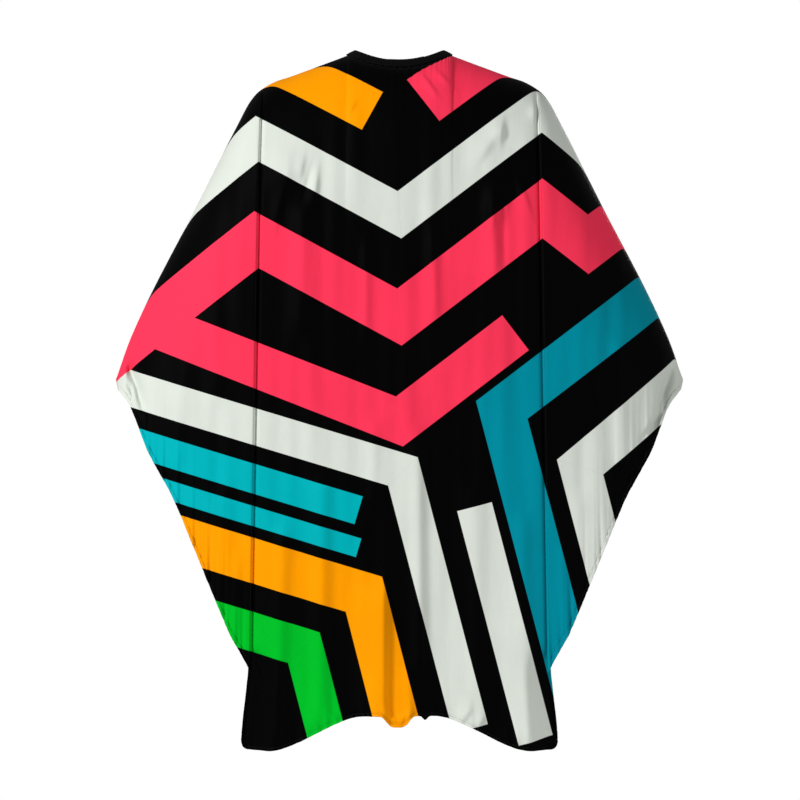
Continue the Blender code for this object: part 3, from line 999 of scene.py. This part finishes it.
# short threads laid end to end along points, sunk at their ends
def stitchRow(bm, points, normals, pitch, lift):
    points = np.asarray(points, float)
    normals = np.asarray(normals, float)
    runs = np.linalg.norm(np.diff(points, axis=0), axis=1)
    along = np.concatenate([[0], np.cumsum(runs)])
    count = int(along[-1] / pitch)
    for i in range(count):
        ends = []
        for reach in ((i + 0.5 - threadCut["share"] / 2) * pitch, (i + 0.5 + threadCut["share"] / 2) * pitch):
            ends.append(Vector([np.interp(reach, along, points[:, k]) for k in range(3)]))
        up = Vector([np.interp((i + 0.5) * pitch, along, normals[:, k]) for k in range(3)]).normalized()
        axis = ends[1] - ends[0]
        length = axis.length
        if length < pitch * 0.2:
            continue
        axis.normalize()
        side = axis.cross(up).normalized()
        up = side.cross(axis)
        made = bmesh.ops.create_cone(
            bm, cap_ends=True, segments=threadCut["sides"], radius1=threadCut["radius"],
            radius2=threadCut["radius"], depth=length)["verts"]
        turn = Matrix((side, up, axis)).transposed().to_4x4()
        turn.translation = (ends[0] + ends[1]) / 2 + up * lift
        bmesh.ops.transform(bm, matrix=turn, verts=made)


def stitchObject(name, rows, material, body):
    bm = bmesh.new()
    for points, normals, pitch, lift in rows:
        stitchRow(bm, points, normals, pitch, lift)
    mesh = bpy.data.meshes.new(name)
    bm.to_mesh(mesh)
    bm.free()
    mesh.shade_smooth()
    mesh.materials.append(material)
    obj = bpy.data.objects.new(name, mesh)
    scene.collection.objects.link(obj)
    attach(obj, body)
    return obj


# points and outward normals along a line a(t), b(t) on a cloth sheet
def surfaceRow(place, a, b, out):
    step = 0.002

    def at(a, b):
        return np.stack(place(np.clip(a, 0, 1), np.clip(b, 0, 1)), 1)
    here = at(a, b)
    normal = np.cross(at(a + step, b) - at(a - step, b), at(a, b + step) - at(a, b - step))
    normal /= np.maximum(np.linalg.norm(normal, axis=1, keepdims=True), 1e-12)
    facing = np.sign((normal * out).sum(1, keepdims=True))
    return here, normal * np.where(facing == 0, 1, facing)


# how far along b the distance from a hem reaches the given value, for each a
def levelLine(near, distance, fixed, low=0.0, high=1.0):
    lowEnd, highEnd = np.full(len(fixed), low), np.full(len(fixed), high)
    for _ in range(26):
        centre = (lowEnd + highEnd) / 2
        inside = near(fixed, centre) > distance
        lowEnd = np.where(inside, centre, lowEnd)
        highEnd = np.where(inside, highEnd, centre)
    return (lowEnd + highEnd) / 2


def makeClothStitches():
    rows = []
    pitch = threadCut["clothPitch"]

    def addRow(place, a, b, facing, face=threadCut["hemFace"]):
        rows.append((*surfaceRow(place, a, b, np.array(facing)), pitch, face))

    def front(a, b):
        return frontPoint(a * 2 - 1, b)[:3]
    a = np.linspace(0.02, 0.98, 300)
    b = levelLine(lambda a, b: frontPoint(a * 2 - 1, b)[3], hem["stitches"], a, low=0.8)
    addRow(front, a, b, (0, -1, 0))
    for sign in (-1, 1):
        b = np.linspace(0.935, 0.990, 60)
        edgeZ = frontPoint(np.full_like(b, sign), b)[2]
        a = 0.5 + sign * 0.5 * (1 - hem["stitches"] / seamX(edgeZ))
        addRow(front, a, b, (sign * 0.5, -1, 0))
    for sign in (-1, 1):
        def side(a, b, sign=sign):
            x, y, z, _ = sidePoint(a, b, sign)
            return sign * x, y, z
        for high, facing in ((0.0, -1), (1.0, 1)):
            a = np.linspace(0.012, 0.985, 260)
            b = levelLine(lambda a, b: sidePoint(a, b, sign)[3], hem["stitches"], a, low=0.5, high=high)
            addRow(side, a, b, (0, facing, 0))
            b = np.linspace(0.5 + 0.03 * facing, 0.5 + 0.485 * facing, 320)
            a = np.full_like(b, 0.0)
            edge = sidePoint(a, b, sign)[0]
            for _ in range(30):
                x = sidePoint(a, b, sign)[0]
                a = np.clip(a + (lap["stitches"] - (x - edge)) * 2.0, 0.0, 0.2)
            addRow(side, a, b, (0, facing, 0), threadCut["lapFace"])
    for sign in (-1, 1):
        def back(a, b, sign=sign):
            u, under, _ = backShare(a, sign)
            return backPoint(u, b, under)[:3]
        a = np.linspace(0.015, 0.99, 200)
        b = levelLine(lambda a, b: backPoint(backShare(a, sign)[0], b, 0.0)[3], hem["stitches"], a, low=0.6)
        addRow(back, a, b, (0, 1, 0))
        if sign < 0:
            b = np.linspace(0.03, 0.985, 260)
            a = np.full_like(b, hem["stitches"] / (cut["seamTop"] * 0.9) / (1 + lapShare))
            addRow(back, a, b, (0, 1, 0.3))
        a = np.linspace(0.46, 0.985, 120)
        b = np.full_like(a, 0.045)
        addRow(back, a, b, (0, 0.3, 1), threadCut["shoulderFace"])
    return rows


def bandRow(rise, offset, start, end, count):
    points, normals = [], []
    for i in range(count):
        angle = mix(start, end, i / (count - 1))
        outward = bandAxes(angle)[0]
        points.append(bandPoint(angle, bandHeight(rise)) + outward * offset)
        normals.append(outward * math.copysign(1, offset))
    return points, normals


print("stitching")
thread = clothMaterial("black thread", (0.018, 0.018, 0.019), 0.7, 0.0004, 0.00002, sheen=0.0, tone=0.3)
bandFace = band["plySpacing"] / 2 + band["ply"] / 2 + 0.00002
bandRows = []
for rise in band["stitchRows"]:
    for offset in (bandFace, -bandFace):
        ends = band["start"] + 0.02, band["end"] - 0.02
        bandRows.append((*bandRow(rise, offset, *ends, 400), threadCut["bandPitch"], 0.0))
stitches = stitchObject("cloth_stitches", makeClothStitches(), thread, "cape")
bandStitches = stitchObject("band_stitches", bandRows, thread, "cape")


def tabRows():
    inset = tab["stitchInset"]
    length = tab["end"] - tab["start"]
    face = tab["cloth"] / 2 + 0.00004
    rows = []
    corners = ((0, 0), (1, 0), (1, 1), (0, 1), (0, 0))
    for (a0, b0), (a1, b1) in zip(corners, corners[1:]):
        points, normals = [], []
        for i in range(60):
            t = i / 59
            a, b = mix(a0, a1, t), mix(b0, b1, t)
            a = mix(inset / length, 1 - inset / length, a)
            angle, offset, half = tabSection(mix(tab["start"], tab["end"], a))
            outward, _, up = bandAxes(angle)
            half -= inset
            points.append(bandPoint(angle, 0.5) + outward * (offset + face) + up * mix(-half, half, b))
            normals.append(outward)
        rows.append((points, normals, threadCut["bandPitch"], 0.0))
    return rows


tabStitches = stitchObject("tab_stitches", tabRows(), thread, "tab")

print("studio")
studio = {
    "middle": -0.4935,
    "distance": 6.0,
    "floorHeight": -1.32,
    "floorRadius": 1.3,
    "ambient": 0.31,
}
camera = bpy.data.objects.new("camera", bpy.data.cameras.new("camera"))
camera.data.lens = 180
camera.data.sensor_width = 36
camera.location = (0.0008, -studio["distance"], studio["middle"])
camera.rotation_euler = (math.pi / 2, 0, 0)
scene.collection.objects.link(camera)
scene.camera = camera

world = bpy.data.worlds.new("studio")
scene.world = world
world.use_nodes = True
sky = world.node_tree
background = sky.nodes["Background"]
background.inputs["Color"].default_value = (1, 1, 1, 1)
seen = node(sky, "ShaderNodeLightPath").outputs["Is Camera Ray"]
level = node(sky, "ShaderNodeMapRange", {"Value": seen, "To Min": studio["ambient"], "To Max": 1.0})
sky.links.new(level.outputs[0], background.inputs["Strength"])

lamps = {  # where each lamp hangs, its size and its power
    "key": ((-3.3, -2.9, 1.3), 1.0, 200.0),
    "fill": ((3.8, -2.4, -0.3), 2.4, 56.0),
    "back": ((0.6, 4.0, -0.1), 2.0, 80.0),
}
for name, (spot, size, power) in lamps.items():
    lamp = bpy.data.lights.new(name, "AREA")
    lamp.size = size
    lamp.energy = power
    lampObject = bpy.data.objects.new(name, lamp)
    lampObject.location = spot
    aim = Vector((0, 0, studio["middle"])) - Vector(spot)
    lampObject.rotation_euler = aim.to_track_quat("-Z", "Y").to_euler()
    scene.collection.objects.link(lampObject)

bm = bmesh.new()
bmesh.ops.create_circle(bm, cap_ends=True, segments=96, radius=studio["floorRadius"])
bmesh.ops.translate(bm, vec=(0, 0, studio["floorHeight"]), verts=bm.verts)
floorMesh = bpy.data.meshes.new("floor")
bm.to_mesh(floorMesh)
bm.free()
floor = bpy.data.objects.new("floor", floorMesh)
scene.collection.objects.link(floor)
pale, _, _ = newMaterial("pale floor", (0.86, 0.86, 0.86), 0.8)
floorMesh.materials.append(pale)

scene.view_settings.view_transform = "Standard"
